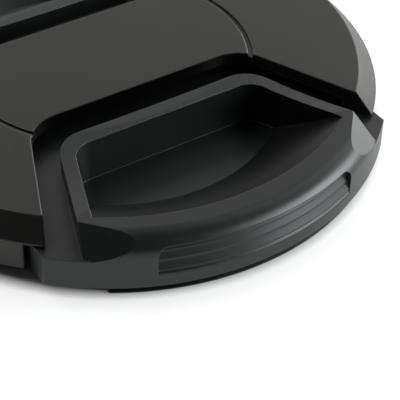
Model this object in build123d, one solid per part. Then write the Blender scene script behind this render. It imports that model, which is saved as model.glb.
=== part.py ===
from build123d import *
import os
from math import radians, sin, sqrt

# Camera lens cap of the centre-pinch kind for a 77 mm filter thread, lying face up.
# X runs along the bar between the two openings, the front latch is on -Y, Z is up out of the face.
# Heights are above the surface the cap lies on. All values are millimetres.

# Shell heights
flange_z = 1.75
lip_z = 6.6
lip_edge = 0.15
face_rise = 2.84
plate_thickness = 1.9

# Shell plan, from the lip inward
lip_radius = 40.0
bevel_inset = 2.7
ring_step = 0.5
skirt_inset = 2.1
skirt_wall = 2.5
groove_radius = 21.54
groove_width = 0.7
groove_depth = 0.5

# Openings: a bar is left between them and their sides splay outward toward the lip
station = 20.0
bar_half = 9.68
opening_half = 22.1
opening_splay = 0.435
opening_corner = 6.0

# Latch travel and running clearances
travel = 4.4
travel_gap = 0.28
side_gap = 0.5
under_lip_gap = 0.25
runner_gap = 0.15
stop_gap = 0.2

# Latch body: its arcs share one axis, this far outward of the cap's axis when released
latch_offset = 2.4
latch_inset = 12.4
band_wall = 2.8
base_rear = 7.3
base_thickness = 1.4
side_wall = 1.5

# Handle
handle_half = 18.03
handle_splay = 0.385
handle_corner = 5.0
rim_width = 2.47
land_rise = 2.45
land_dish_radius = 600.0
rim_rise = 2.3
rim_dish_radius = 75.0
rim_dish_y = 21.0
shoulder_radius = 3.0

# Finger pocket: flat floor, then a ramp that rises to the handle's front edge
pocket_half = 15.9
pocket_splay = 0.39
pocket_corner = 3.5
pocket_depth = 4.1
pocket_wall = 1.05
front_edge_inset = 5.5
ramp_run = 10.15

# Hollow under the ramp
ramp_wall = 1.3
land_wall = 1.5
front_wall = 3.4
hollow_blunt = 0.6

# Flat facets on the handle's front corners: plane normal, and reach as a share of the lip radius
facet_nx = 0.502
facet_ny = -0.469
facet_nz = 0.725
facet_reach = 0.693

# Ramp window in the band, deepest at its top, where it runs under the shoulder
window_angle = 22.7
window_foot_drop = 3.2
window_top_rise = 1.15
window_depth = 1.3
window_corner = 1.5

# Strip under the band that enters the filter thread, at the root of the thread
strip_inset = 2.07
strip_offset = 3.5
strip_wall = 1.6
strip_angle = 33.0

# Springs and their seats
spring_inset = 3.0
spring_z = 3.6
spring_mean = 1.2
spring_wire = 0.45
spring_turns = 5
spring_end_gap = 0.05
arm_y = 12.4
arm_thickness = 1.5
arm_bottom = 1.6
arm_gap = 0.5
post_radius = 0.7
post_length = 1.5
notch_inset = 6.8

# Guides, runners, rib, pegs and back plate
guide_wall = 1.2
guide_end = 27.35
runner_inset = 2.6
runner_width = 1.5
runner_start = 9.0
runner_end = 25.0
rib_half = 18.0
rib_wall = 1.2
rib_gap = 0.2
peg_radius = 1.0
peg_gap = 0.1
peg_recess = 0.1
peg_edge = 1.85
peg_y = 9.0
back_plate_gap = 0.4
back_plate_z = 0.2
back_plate_thickness = 0.95

# How far ribs run into the plate they stand on, and cutters run past what they cut
root = 0.5
over = 1.0

# Values that follow from those above
face_z = lip_z + face_rise
plate_under = face_z - plate_thickness
lip_under = lip_z - lip_edge
face_radius = lip_radius - bevel_inset
ring_radius = lip_radius - ring_step
skirt_radius = lip_radius - skirt_inset
skirt_inner = skirt_radius - skirt_wall
base_top = lip_under - under_lip_gap
base_under = base_top - base_thickness
latch_half = lip_radius - latch_inset
passage_half = latch_half + side_gap
notch_half = latch_half - notch_inset
spring_x = latch_half - spring_inset
runner_x = latch_half - runner_inset
handle_back = bar_half + travel + travel_gap
pocket_back = handle_back + rim_width
pocket_floor = lip_z - pocket_depth
latch_under = pocket_floor - pocket_wall
band_radius = lip_radius
band_inner = band_radius - band_wall
front_edge_radius = band_radius - front_edge_inset
crease_radius = front_edge_radius - ramp_run
land_z = lip_z + land_rise
rim_z = lip_z + rim_rise
window_foot = lip_z - window_foot_drop
window_top = lip_z + window_top_rise
strip_radius = lip_radius - strip_inset
rib_y = base_rear - travel - rib_gap
guide_start = arm_y + arm_thickness + stop_gap
back_plate_radius = skirt_inner - back_plate_gap
back_plate_top = back_plate_z + back_plate_thickness
peg_x = sqrt((back_plate_radius - peg_edge) ** 2 - peg_y**2)
arm_half = peg_x - peg_radius - arm_gap
far = lip_radius + latch_offset + travel + over
high = face_z + over


def block(x0, x1, y0, y1, z0, z1):
    """Box between two corners."""
    return Pos((x0 + x1) / 2, (y0 + y1) / 2, (z0 + z1) / 2) * Box(x1 - x0, y1 - y0, z1 - z0)


def both_sides(x0, x1, y0, y1, z0, z1):
    """The same box on the right and on the left."""
    return block(x0, x1, y0, y1, z0, z1) + block(-x1, -x0, y0, y1, z0, z1)


def prism(face, z0, z1):
    """Plan outline raised between two heights."""
    return extrude(Pos(0, 0, z0) * face, amount=z1 - z0)


def splayed(half, splay, back, corner):
    """Plan outline of a front-facing trapezium, its two back corners rounded."""
    x_back = half + splay * (back - station)
    x_front = half + splay * (far - station)
    corners = [(-x_back, -back), (x_back, -back), (x_front, -far), (-x_front, -far)]
    outline = make_face(Polyline(*corners, close=True))
    return fillet(outline.vertices().sort_by(Axis.Y)[-2:], corner)


def ring(profile, offset=0.0):
    """Radius and height profile turned about an upright axis that lies offset toward the front."""
    return Pos(0, -offset, 0) * revolve(Plane.XZ * make_face(Polyline(*profile, close=True)), Axis.Z)


def tube(inner, outer, z0, z1, offset=0.0):
    """Plain ring between two radii and two heights."""
    return ring([(inner, z0), (outer, z0), (outer, z1), (inner, z1)], offset)


def sector(profile, offset, half_angle):
    """Part of a ring, centred on the front."""
    turned = revolve(Plane.XZ * make_face(Polyline(*profile, close=True)), Axis.Z, 2 * half_angle)
    return Pos(0, -offset, 0) * Rot(0, 0, -90 - half_angle) * turned


# Handle of the front latch, released: dished top, round shoulder down to the band, flat corner facets
handle_outline = splayed(handle_half, handle_splay, handle_back, handle_corner)
handle_prism = prism(handle_outline, latch_under, high)
handle = handle_prism & tube(0, band_radius, latch_under, high, latch_offset)
hollow_outer = band_radius - front_wall
handle = handle - tube(hollow_outer, band_radius + over, 0, flange_z, latch_offset)
land_axis = Pos(0, -station, land_z + land_dish_radius) * Rot(90, 0, 0)
handle = handle - land_axis * Cylinder(land_dish_radius, 4 * far)
shoulder_edge = handle.edges().filter_by(lambda e: e.center().Z > lip_z).sort_by(Axis.Y)[0]
handle = fillet(shoulder_edge, shoulder_radius)
rim_axis = Pos(0, -rim_dish_y, rim_z + rim_dish_radius) * Rot(0, 90, 0)
handle = handle - rim_axis * Cylinder(rim_dish_radius, 4 * far)
for side in (-1, 1):
    normal = Vector(side * facet_nx, facet_ny, facet_nz)
    facet = Plane(origin=Vector(0, 0, lip_z) + normal * facet_reach * lip_radius, z_dir=normal)
    handle = handle - facet * Pos(0, 0, far / 2) * Box(2 * far, 2 * far, far)

# Scooped finger pocket, and the hollow that keeps an even wall under its ramp
slope = (land_z - pocket_floor) / ramp_run
scoop_reach = crease_radius + (high - pocket_floor) / slope
scoop_profile = [(0, pocket_floor), (crease_radius, pocket_floor), (scoop_reach, high), (0, high)]
scoop = ring(scoop_profile, latch_offset)
pocket_outline = splayed(pocket_half, pocket_splay, pocket_back, pocket_corner)
pocket = prism(pocket_outline, pocket_floor, high) & scoop
ramp_drop = sqrt(1 + slope * slope) * ramp_wall
hollow_top = land_z - land_wall
hollow_inner = crease_radius + (latch_under + ramp_drop - pocket_floor) / slope + hollow_blunt
hollow_profile = [
    (hollow_inner, 0),
    (hollow_outer, 0),
    (hollow_outer, hollow_top),
    (crease_radius + (hollow_top + ramp_drop - pocket_floor) / slope, hollow_top),
    (hollow_inner, latch_under + hollow_blunt * slope),
]
hollow = ring(hollow_profile, latch_offset) & prism(pocket_outline, 0, high)

# Sliding base with side walls, low part of the band and the arms that take the springs
base_corners = [
    (-notch_half, -base_rear),
    (notch_half, -base_rear),
    (notch_half, -arm_y),
    (latch_half, -arm_y),
    (latch_half, -far),
    (-latch_half, -far),
    (-latch_half, -arm_y),
    (-notch_half, -arm_y),
]
inside_band = tube(0, band_radius, 0, base_top, latch_offset)
base = prism(make_face(Polyline(*base_corners, close=True)), base_under, base_top)
base = base + both_sides(latch_half - side_wall, latch_half, -far, -arm_y, flange_z, base_top)
base = base & inside_band
band_low = tube(band_inner, band_radius, flange_z, base_top, latch_offset)
base = base + (band_low & block(-latch_half, latch_half, -far, -station, flange_z, base_top))
base = base + both_sides(notch_half, arm_half, -arm_y - arm_thickness, -arm_y, arm_bottom, base_top)

strip_inner = strip_radius - strip_wall
strip_top = flange_z + root
strip_profile = [(strip_inner, 0), (strip_radius, 0), (strip_radius, strip_top), (strip_inner, strip_top)]
strip = sector(strip_profile, strip_offset, strip_angle)

# Ramp window in the band, with rounded upper corners
window_proud = band_radius + over
window_profile = [
    (band_radius, window_foot),
    (window_proud, window_foot),
    (window_proud, window_top),
    (band_radius - window_depth, window_top),
]
window_half = band_radius * sin(radians(window_angle))
window_corners = [
    (-window_half, window_foot - over),
    (window_half, window_foot - over),
    (window_half, window_top),
    (-window_half, window_top),
]
window_outline = make_face(Polyline(*window_corners, close=True))
window_outline = fillet(window_outline.vertices().sort_by(Axis.Y)[-2:], window_corner)
window = sector(window_profile, latch_offset, window_angle)
window = window & extrude(Plane.XZ * window_outline, amount=far + latch_offset)

latch_front = handle + base + strip
latch_front = latch_front - pocket - hollow - window
for side in (-1, 1):
    post_place = Pos(side * spring_x, -arm_y + post_length / 2, spring_z) * Rot(90, 0, 0)
    latch_front = latch_front + post_place * Cylinder(post_radius, post_length)
latch_rear = Rot(0, 0, 180) * latch_front

# Shell: face plate, bevel, lip, lower ring and skirt in one turn, then the passage for the latches
shell_profile = [
    (0, face_z),
    (face_radius, face_z),
    (lip_radius, lip_z),
    (lip_radius, lip_under),
    (ring_radius, lip_under),
    (ring_radius, flange_z),
    (skirt_radius, flange_z),
    (skirt_radius, 0),
    (skirt_inner, 0),
    (skirt_inner, plate_under),
    (0, plate_under),
]
shell = ring(shell_profile)
shell = shell - block(-passage_half, passage_half, -far, far, -over, lip_under)
shell = shell - block(-far, far, -far, -guide_end, -over, lip_under)
shell = shell - block(-far, far, guide_end, far, -over, lip_under)
rib_top = plate_under + root
within_skirt = tube(0, skirt_radius, 0, rib_top)
for y0, y1 in ((-guide_end, -guide_start), (guide_start, guide_end)):
    guides = both_sides(passage_half, passage_half + guide_wall, y0, y1, flange_z, rib_top)
    shell = shell + (guides & within_skirt)
for y0, y1 in ((-runner_end, -runner_start), (runner_start, runner_end)):
    shell = shell + both_sides(runner_x, runner_x + runner_width, y0, y1, base_top + runner_gap, rib_top)
rib = block(-rib_half, rib_half, -rib_y, rib_y, back_plate_top, rib_top)
rib_hollow_x = rib_half - rib_wall
rib_hollow_y = rib_y - rib_wall
rib = rib - block(-rib_hollow_x, rib_hollow_x, -rib_hollow_y, rib_hollow_y, 0, plate_under)
shell = shell + rib
pegs = [(peg_x, peg_y), (peg_x, -peg_y), (-peg_x, peg_y), (-peg_x, -peg_y)]
peg_bottom = back_plate_z + peg_recess
for x, y in pegs:
    shell = shell + Pos(x, y, (peg_bottom + rib_top) / 2) * Cylinder(peg_radius, rib_top - peg_bottom)

# Openings for the handles, and the ring groove in the face
opening_outline = splayed(opening_half, opening_splay, bar_half, opening_corner)
opening = prism(opening_outline, lip_under - over, high)
shell = shell - opening
shell = shell - Rot(0, 0, 180) * opening
groove_outer = groove_radius + groove_width / 2
cap_shell = shell - tube(groove_outer - groove_width, groove_outer, face_z - groove_depth, high)

# Back plate
back_plate = tube(0, back_plate_radius, back_plate_z, back_plate_top)
for x, y in pegs:
    back_plate = back_plate - Pos(x, y, 0) * Cylinder(peg_radius + peg_gap, 4 * back_plate_top)

# Springs, their wire drawn with flat sides
spring_length = 2 * (arm_y - spring_end_gap) - spring_wire
coil = Helix(pitch=spring_length / spring_turns, height=spring_length, radius=spring_mean)
wire_end = Plane(origin=coil @ 0, z_dir=coil % 0)
spring = sweep(wire_end * RegularPolygon(spring_wire / 2, 4), path=coil, is_frenet=True)
spring = Rot(-90, 0, 0) * Pos(0, 0, -spring_length / 2) * spring
spring_right = Pos(spring_x, 0, spring_z) * spring
spring_left = Pos(-spring_x, 0, spring_z) * spring

os.makedirs("parts", exist_ok=True)
export_step(cap_shell, "parts/cap_shell.step")
export_step(back_plate, "parts/back_plate.step")
export_step(latch_front, "parts/latch_front.step")
export_step(latch_rear, "parts/latch_rear.step")
export_step(spring_left, "parts/spring_left.step")
export_step(spring_right, "parts/spring_right.step")
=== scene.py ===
import bmesh
import bpy
from math import cos, pi, radians, sin
from mathutils import Matrix, Vector


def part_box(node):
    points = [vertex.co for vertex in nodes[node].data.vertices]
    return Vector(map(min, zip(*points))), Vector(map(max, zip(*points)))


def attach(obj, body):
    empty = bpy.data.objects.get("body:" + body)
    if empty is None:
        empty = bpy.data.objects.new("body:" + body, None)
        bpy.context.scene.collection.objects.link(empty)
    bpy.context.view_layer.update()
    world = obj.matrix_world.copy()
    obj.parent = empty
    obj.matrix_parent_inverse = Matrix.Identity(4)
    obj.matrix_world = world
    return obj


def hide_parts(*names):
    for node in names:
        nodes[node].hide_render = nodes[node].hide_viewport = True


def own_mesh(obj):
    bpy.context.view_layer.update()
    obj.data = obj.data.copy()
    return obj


# Dresses the camera lens cap: satin black plastics with rounded and rubbed edges, the thread and the grip
# ribs on the latches, round spring wire, a pale floor, soft light and the camera of the photograph.
# Metres throughout.

MM = 0.001

# Camera, fitted to the photograph
view_azimuth = radians(-35.2)
view_elevation = radians(39.6)
view_roll = radians(1.98)
view_distance = 197.9 * MM
view_target = Vector((-4.04, -33.04, 6.6)) * MM
view_lens = 135.1
view_shift = (-0.01475, -0.00075)
view_clip = 10 * MM

# Screw thread on the strip under each latch, turned about an axis that lies this far toward the front
thread_axis = 3.5 * MM
thread_root = 37.9 * MM
thread_crest = 38.35 * MM
thread_pitch = 0.75 * MM
thread_heights = (0.41 * MM, 1.16 * MM)
thread_root_half = 0.32 * MM
thread_crest_half = 0.08 * MM
thread_angle = radians(32.6)

# Ramp in the window of each latch's band, turned about an axis that lies this far toward the front
ramp_axis = 2.4 * MM
ramp_foot_radius = 40.0 * MM
ramp_foot_height = 3.4 * MM
ramp_depth = 1.3 * MM
ramp_height = 4.35 * MM

# Grip ribs across the ramp, each leaning out from its top to its crest and stepping back below it: height of
# its top, height of its crest and how far the crest stands out
ribs = (
    (7.4 * MM, 6.83 * MM, 0.09 * MM),
    (6.55 * MM, 5.68 * MM, 0.14 * MM),
    (5.27 * MM, 4.28 * MM, 0.15 * MM),
    (3.97 * MM, 3.67 * MM, 0.078 * MM),
)
lean_power = 1.1
lean_steps = 6
rib_step = 0.1 * MM
rib_sink = 0.05 * MM
rib_angle = radians(22.6)

# Steps along the arcs of the thread and ribs, and the angle from which an edge stays sharp
sweep_steps = 64
sharp_angle = radians(25)

# Springs: wire, turns in each half, and steps along and around the wire
spring_wire = 0.45 * MM
open_turns = 2.5
closed_turns = 1.0
coil_steps = 84
wire_sides = 16

# Plastics: clean and rubbed colour, tint of the gloss, roughness and size of the grain
shell_finish = {
    "dark": (0.0012, 0.0012, 0.0012),
    "light": (0.04, 0.04, 0.039),
    "tint": (1.0, 1.0, 0.95),
    "rough": 0.44,
    "grain": 0.22 * MM,
}
latch_finish = {
    "dark": (0.001, 0.0013, 0.0013),
    "light": (0.047, 0.05, 0.05),
    "tint": (0.94, 1.0, 0.98),
    "rough": 0.38,
    "grain": 0.16 * MM,
}
inner_finish = {
    "dark": (0.006, 0.006, 0.006),
    "light": (0.04, 0.04, 0.04),
    "tint": (1.0, 1.0, 1.0),
    "rough": 0.55,
    "grain": 0.3 * MM,
}

# Radius of the plastics' rounded edges, and the agreement of the two normals on open faces and on edges
shell_edge = 0.45 * MM
latch_edge = 0.16 * MM
ridge_edge = 0.03 * MM
inner_edge = 0.15 * MM
edge_samples = 8
edge_span = (0.995, 0.86)

# Blotches, grain, rubbed edges and dust of the plastics. A span holds the noise levels between which a
# feature comes in, a tone is its share of the rubbed colour and a gloss its change of roughness.
noise_span = (0.3, 0.7)
blotch_size = 9 * MM
blotch_detail = 4.0
blotch_tone = 0.03
blotch_gloss = (-0.02, 0.03)
grain_detail = 3.0
grain_tone = 0.03
grain_gloss = (-0.04, 0.04)
grain_relief = 0.35
grain_depth = 0.02 * MM
rub_span = (0.35, 0.65)
rub_tone = (0.2, 0.6)
rub_gloss = -0.12
dust_size = 0.6 * MM
dust_detail = 1.0
dust_span = (0.76, 0.8)
dust_tone = 0.5

# Spring steel: its drawing marks, and the colours and roughness between which they vary
mark_size = 0.12 * MM
mark_detail = 3.0
steel_dark = (0.36, 0.36, 0.37)
steel_light = (0.6, 0.6, 0.6)
steel_rough = (0.22, 0.4)

# Light panels: direction from the cap, distance, width, height, radiance and colour
panels = {
    "key_panel": ((0.719, -0.614, 0.326), 0.5, 0.4, 0.28, 10.2, (0.96, 0.98, 1.0)),
    "side_panel": ((0.951, 0.168, 0.259), 0.6, 0.4, 0.28, 5.0, (1.0, 1.0, 1.0)),
    "dome_panel": ((0.6, 0.12, 0.79), 0.7, 0.38, 0.38, 1.2, (1.0, 1.0, 1.0)),
    "sky_panel": ((0.408, 0.801, 0.438), 0.7, 1.3, 0.5, 0.95, (1.0, 1.0, 0.97)),
    "top_panel": ((-0.32, 0.43, 0.845), 0.7, 0.35, 0.35, 5.0, (1.0, 1.0, 1.0)),
}
surround = 0.065

# Floor: half its side, its colour and its paper fibres
floor_half = 4.0
floor_colour = 0.52
floor_rough = 0.9
fibre_size = 0.4 * MM
fibre_detail = 4.0
fibre_tone = 0.02

# Glow that makes the floor white. It is held back next to the cap's outline, which the latches' bands draw
# out to the front and rear, and this paints shade on the floor close around the cap; there is more of the
# glow far away.
latch_out = 2.4 * MM
glow_narrowing = 1.03
near_glow = 0.6
# Painted shade: the floor has no glow out to the first reach and its full near glow from the second
painted_shade_fade_from = 38.6 * MM
painted_shade_fade_to = 40.8 * MM
far_glow = 0.5
far_start = 80 * MM
far_full = 300 * MM

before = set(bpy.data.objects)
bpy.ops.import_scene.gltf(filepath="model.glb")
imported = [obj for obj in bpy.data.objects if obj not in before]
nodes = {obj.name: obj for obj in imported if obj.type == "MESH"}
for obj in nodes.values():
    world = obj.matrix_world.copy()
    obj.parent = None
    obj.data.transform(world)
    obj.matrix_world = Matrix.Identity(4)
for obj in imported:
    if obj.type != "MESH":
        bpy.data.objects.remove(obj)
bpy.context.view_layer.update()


def new_material(name):
    """Material with its tree, its shader and a texture coordinate in metres."""
    material = bpy.data.materials.new(name)
    material.use_nodes = True
    tree = material.node_tree
    shader = tree.nodes["Principled BSDF"]
    place = tree.nodes.new("ShaderNodeTexCoord").outputs["Object"]
    return material, tree, shader, place


def noise(tree, place, size, detail):
    """Noise whose features are about this size."""
    node = tree.nodes.new("ShaderNodeTexNoise")
    node.inputs["Scale"].default_value = 1 / size
    node.inputs["Detail"].default_value = detail
    tree.links.new(place, node.inputs["Vector"])
    return node.outputs["Fac"]


def spread(tree, value, low, high, new_low, new_high):
    """Value taken from one range to another and held at its ends."""
    node = tree.nodes.new("ShaderNodeMapRange")
    tree.links.new(value, node.inputs["Value"])
    ends = {"From Min": low, "From Max": high, "To Min": new_low, "To Max": new_high}
    for name, number in ends.items():
        node.inputs[name].default_value = number
    return node.outputs["Result"]


def arithmetic(tree, operation, first, second=0.0):
    """Result for one or two values, any of which may be a plain number."""
    node = tree.nodes.new("ShaderNodeMath")
    node.operation = operation
    for socket, value in zip(node.inputs, (first, second)):
        if isinstance(value, (int, float)):
            socket.default_value = value
        else:
            tree.links.new(value, socket)
    return node.outputs["Value"]


def colour_between(tree, factor, first, second):
    """Colour from the first at zero to the second at one."""
    node = tree.nodes.new("ShaderNodeMix")
    node.data_type = "RGBA"
    node.inputs["A"].default_value = (*first, 1)
    node.inputs["B"].default_value = (*second, 1)
    tree.links.new(factor, node.inputs["Factor"])
    return node.outputs["Result"]


def rounded_edges(tree, radius):
    """Normal that rounds the edges, and a mask that is one on them and zero on open faces."""
    bevel = tree.nodes.new("ShaderNodeBevel")
    bevel.samples = edge_samples
    bevel.inputs["Radius"].default_value = radius
    geometry = tree.nodes.new("ShaderNodeNewGeometry")
    agreement = tree.nodes.new("ShaderNodeVectorMath")
    agreement.operation = "DOT_PRODUCT"
    tree.links.new(bevel.outputs["Normal"], agreement.inputs[0])
    tree.links.new(geometry.outputs["Normal"], agreement.inputs[1])
    return bevel.outputs["Normal"], spread(tree, agreement.outputs["Value"], *edge_span, 0.0, 1.0)


def moulded_plastic(name, edge, dark, light, tint, rough, grain):
    """Black plastic with a satin grain, faint blotches, rubbed edges and a few specks of dust."""
    material, tree, shader, place = new_material(name)
    shader.inputs["Specular Tint"].default_value = (*tint, 1)
    blotches = noise(tree, place, blotch_size, blotch_detail)
    grains = noise(tree, place, grain, grain_detail)
    specks = noise(tree, place, dust_size, dust_detail)
    rounded, edges = rounded_edges(tree, edge)
    rubbed = arithmetic(tree, "MULTIPLY", edges, spread(tree, blotches, *rub_span, *rub_tone))

    tone = spread(tree, blotches, *noise_span, 0.0, blotch_tone)
    tone = arithmetic(tree, "ADD", tone, spread(tree, grains, *noise_span, 0.0, grain_tone))
    tone = arithmetic(tree, "ADD", tone, rubbed)
    tone = arithmetic(tree, "ADD", tone, spread(tree, specks, *dust_span, 0.0, dust_tone))
    tree.links.new(colour_between(tree, tone, dark, light), shader.inputs["Base Color"])

    low_gloss, high_gloss = blotch_gloss
    gloss = spread(tree, blotches, *noise_span, rough + low_gloss, rough + high_gloss)
    gloss = arithmetic(tree, "ADD", gloss, spread(tree, grains, *noise_span, *grain_gloss))
    gloss = arithmetic(tree, "ADD", gloss, arithmetic(tree, "MULTIPLY", rubbed, rub_gloss))
    tree.links.new(gloss, shader.inputs["Roughness"])

    relief = tree.nodes.new("ShaderNodeBump")
    relief.inputs["Strength"].default_value = grain_relief
    relief.inputs["Distance"].default_value = grain_depth
    tree.links.new(grains, relief.inputs["Height"])
    tree.links.new(rounded, relief.inputs["Normal"])
    tree.links.new(relief.outputs["Normal"], shader.inputs["Normal"])
    return material


def drawn_wire(name):
    """Spring steel with fine drawing marks."""
    material, tree, shader, place = new_material(name)
    shader.inputs["Metallic"].default_value = 1.0
    marks = spread(tree, noise(tree, place, mark_size, mark_detail), *noise_span, 0.0, 1.0)
    tree.links.new(colour_between(tree, marks, steel_dark, steel_light), shader.inputs["Base Color"])
    tree.links.new(spread(tree, marks, 0.0, 1.0, *steel_rough), shader.inputs["Roughness"])
    return material


def white_paper(name):
    """Floor that is white to the eye and in reflections; its glow is held back close around the cap, which
    paints shade there and lets the cap's own shadow show.
    """
    material, tree, shader, place = new_material(name)
    apart = tree.nodes.new("ShaderNodeSeparateXYZ")
    tree.links.new(place, apart.inputs["Vector"])
    across = arithmetic(tree, "MULTIPLY", apart.outputs["X"], glow_narrowing)
    across = arithmetic(tree, "POWER", across, 2.0)
    along = arithmetic(tree, "SUBTRACT", arithmetic(tree, "ABSOLUTE", apart.outputs["Y"]), latch_out)
    along = arithmetic(tree, "POWER", along, 2.0)
    reach = arithmetic(tree, "SQRT", arithmetic(tree, "ADD", across, along))
    # Painted shade around the cap: no glow up to its outline, fading in just outside it
    glow = spread(tree, reach, painted_shade_fade_from, painted_shade_fade_to, 0.0, near_glow)
    glow = arithmetic(tree, "ADD", glow, spread(tree, reach, far_start, far_full, 0.0, far_glow))

    fibres = spread(tree, noise(tree, place, fibre_size, fibre_detail), *noise_span, 0.0, 1.0)
    dull = (floor_colour - fibre_tone,) * 3
    pale = (floor_colour,) * 3
    tree.links.new(colour_between(tree, fibres, dull, pale), shader.inputs["Base Color"])
    shader.inputs["Roughness"].default_value = floor_rough
    shader.inputs["Specular IOR Level"].default_value = 0.0
    shader.inputs["Emission Color"].default_value = (1, 1, 1, 1)
    path = tree.nodes.new("ShaderNodeLightPath")
    seen = arithmetic(tree, "MAXIMUM", path.outputs["Is Camera Ray"], path.outputs["Is Glossy Ray"])
    seen = arithmetic(tree, "MAXIMUM", seen, path.outputs["Is Transmission Ray"])
    tree.links.new(arithmetic(tree, "MULTIPLY", seen, glow), shader.inputs["Emission Strength"])
    return material


def dress(name, material):
    """Gives a CAD node its material."""
    for slot in nodes[name].material_slots:
        slot.material = material


def skin(form, rows):
    """Closed skin over rows of points, each row a ring."""
    sides = len(rows[0])
    for row, after in zip(rows, rows[1:]):
        for i in range(sides):
            j = (i + 1) % sides
            form.faces.new((row[i], after[i], after[j], row[j]))
    form.faces.new(rows[0])
    form.faces.new(reversed(rows[-1]))


def piece_from(form, name):
    """Smooth piece with its sharp edges kept."""
    bmesh.ops.recalc_face_normals(form, faces=form.faces)
    for face in form.faces:
        face.smooth = True
    mesh = bpy.data.meshes.new(name)
    form.to_mesh(mesh)
    form.free()
    mesh.set_sharp_from_angle(angle=sharp_angle)
    piece = bpy.data.objects.new(name, mesh)
    bpy.context.scene.collection.objects.link(piece)
    return piece


def swept_ridge(form, axis, half_angle, profile_at):
    """Closed ridge along an arc at the front, its radius and height profile given for each angle."""
    rows = []
    for step in range(sweep_steps + 1):
        angle = half_angle * (2 * step / sweep_steps - 1)
        row = []
        for radius, height in profile_at(angle):
            row.append(form.verts.new((radius * sin(angle), -axis - radius * cos(angle), height)))
        rows.append(row)
    skin(form, rows)


def thread_profile(height, angle):
    """Thread form at an angle along its helix."""
    middle = height + thread_pitch * angle / (2 * pi)
    return (
        (thread_root, middle - thread_root_half),
        (thread_crest, middle - thread_crest_half),
        (thread_crest, middle + thread_crest_half),
        (thread_root, middle + thread_root_half),
    )


def ramp_radius(height):
    """Radius of the ramp in the window at a height."""
    return ramp_foot_radius - ramp_depth * (height - ramp_foot_height) / ramp_height


def rib_profile(top, crest, rise):
    """Grip rib that leans out from the ramp, stands out most at its crest and steps back below it."""
    points = [(ramp_radius(top) - rib_sink, top)]
    for step in range(lean_steps + 1):
        share = step / lean_steps
        height = top + (crest - top) * share
        points.append((ramp_radius(height) + rise * share ** lean_power, height))
    foot = crest - rib_step
    points.append((ramp_radius(foot), foot))
    points.append((ramp_radius(foot) - rib_sink, foot))
    return points


def ridges(name, turned):
    """Thread and grip ribs of one latch as a piece of their own."""
    form = bmesh.new()
    for height in thread_heights:
        swept_ridge(form, thread_axis, thread_angle, lambda angle: thread_profile(height, angle))
    for top, crest, rise in ribs:
        swept_ridge(form, ramp_axis, rib_angle, lambda angle: rib_profile(top, crest, rise))
    if turned:
        bmesh.ops.rotate(form, cent=(0, 0, 0), matrix=Matrix.Rotation(pi, 3, "Z"), verts=form.verts)
    return piece_from(form, name)


def half_spring(name, low, high, turned):
    """Round wire from the middle of a spring's box to its closed rear end, or if turned, its front end."""
    radius = spring_wire / 2
    mean = (high.x - low.x) / 2 - radius
    rise = (high.y - low.y) / 2 - radius - closed_turns * spring_wire
    form = bmesh.new()
    rows = []
    for step in range(coil_steps + 1):
        turn = (open_turns + closed_turns) * step / coil_steps
        outward = Vector((cos(2 * pi * turn), 0, sin(2 * pi * turn)))
        onward = Vector((-outward.z, 0, outward.x)) * mean * 2 * pi
        if turn < open_turns:
            height = rise * turn / open_turns
            onward.y = rise / open_turns
        else:
            height = rise + (turn - open_turns) * spring_wire
            onward.y = spring_wire
        sideways = onward.cross(outward).normalized()
        centre = outward * mean + Vector((0, height, 0))
        row = []
        for side in range(wire_sides):
            angle = 2 * pi * side / wire_sides
            row.append(form.verts.new(centre + (outward * cos(angle) + sideways * sin(angle)) * radius))
        rows.append(row)
    skin(form, rows)
    if turned:
        bmesh.ops.rotate(form, cent=(0, 0, 0), matrix=Matrix.Rotation(pi, 3, "X"), verts=form.verts)
    bmesh.ops.translate(form, vec=(low + high) / 2, verts=form.verts)
    return piece_from(form, name)


def panel(name, direction, distance, width, height, radiance, colour):
    """Soft light panel that faces the cap."""
    light = bpy.data.lights.new(name, "AREA")
    light.shape = "RECTANGLE"
    light.size = width
    light.size_y = height
    light.energy = radiance * pi * width * height
    light.color = colour
    lamp = bpy.data.objects.new(name, light)
    bpy.context.scene.collection.objects.link(lamp)
    toward = Vector(direction).normalized()
    lamp.location = toward * distance
    lamp.rotation_mode = "QUATERNION"
    lamp.rotation_quaternion = toward.to_track_quat("Z", "Y")
    return lamp


# Plastics and steel
latch_plastic = moulded_plastic("latch_black", latch_edge, **latch_finish)
ridge_plastic = moulded_plastic("ridge_black", ridge_edge, **latch_finish)
spring_steel = drawn_wire("spring_wire")
dress("cap_shell", moulded_plastic("shell_black", shell_edge, **shell_finish))
dress("latch_front", latch_plastic)
dress("latch_rear", latch_plastic)
dress("back_plate", moulded_plastic("inner_black", inner_edge, **inner_finish))

# Ridges on the two latches
for name, body, turned in (("ridges_front", "front_latch", False), ("ridges_rear", "rear_latch", True)):
    piece = ridges(name, turned)
    piece.data.materials.append(ridge_plastic)
    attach(piece, body)
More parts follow.
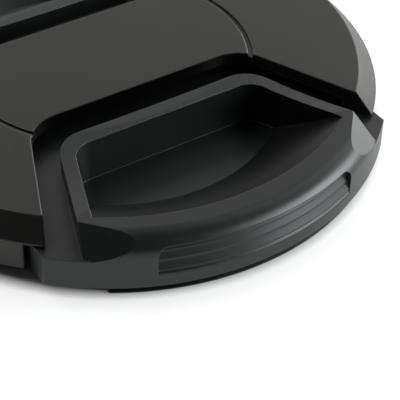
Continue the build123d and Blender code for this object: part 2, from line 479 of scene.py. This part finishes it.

# Springs, each in two halves of round wire attached to the shell, in place of the hidden CAD spring
for node in ("spring_left", "spring_right"):
    low, high = [Vector(corner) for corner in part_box(node)]
    for end, joint, turned in (("front", "front_latch_slide", True), ("rear", "rear_latch_slide", False)):
        piece = half_spring(node + "_" + end, low, high, turned)
        piece.data.materials.append(spring_steel)
        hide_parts(node)
        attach(piece, "shell")
        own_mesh(piece)

# Floor and light
floor_mesh = bpy.data.meshes.new("floor")
floor_corners = [(-1, -1, 0), (1, -1, 0), (1, 1, 0), (-1, 1, 0)]
floor_mesh.from_pydata([Vector(corner) * floor_half for corner in floor_corners], [], [(0, 1, 2, 3)])
floor_mesh.materials.append(white_paper("paper"))
floor = bpy.data.objects.new("floor", floor_mesh)
bpy.context.scene.collection.objects.link(floor)
lamps = {name: panel(name, *values) for name, values in panels.items()}

# The low key panel is kept off the shell, whose flat plate would mirror it when seen from behind
left_out = bpy.data.collections.new("left_out")
left_out.objects.link(nodes["cap_shell"])
left_out.collection_objects[0].light_linking.link_state = "EXCLUDE"
lamps["key_panel"].light_linking.receiver_collection = left_out

# World and view
world = bpy.data.worlds.new("studio")
world.use_nodes = True
world.node_tree.nodes["Background"].inputs["Color"].default_value = (surround, surround, surround, 1)
bpy.context.scene.world = world
bpy.context.scene.view_settings.view_transform = "Standard"

# Camera
level = cos(view_elevation)
back = Vector((sin(view_azimuth) * level, -cos(view_azimuth) * level, sin(view_elevation)))
right = Vector((cos(view_azimuth), sin(view_azimuth), 0))
up = back.cross(right)
rolled_right = right * cos(view_roll) + up * sin(view_roll)
rolled_up = up * cos(view_roll) - right * sin(view_roll)
lens = bpy.data.cameras.new("camera")
lens.lens = view_lens
lens.shift_x, lens.shift_y = view_shift
lens.clip_start = view_clip
camera = bpy.data.objects.new("camera", lens)
bpy.context.scene.collection.objects.link(camera)
turn = Matrix((rolled_right, rolled_up, back)).transposed().to_4x4()
camera.matrix_world = Matrix.Translation(view_target + back * view_distance) @ turn
bpy.context.scene.camera = camera

bpy.context.view_layer.update()
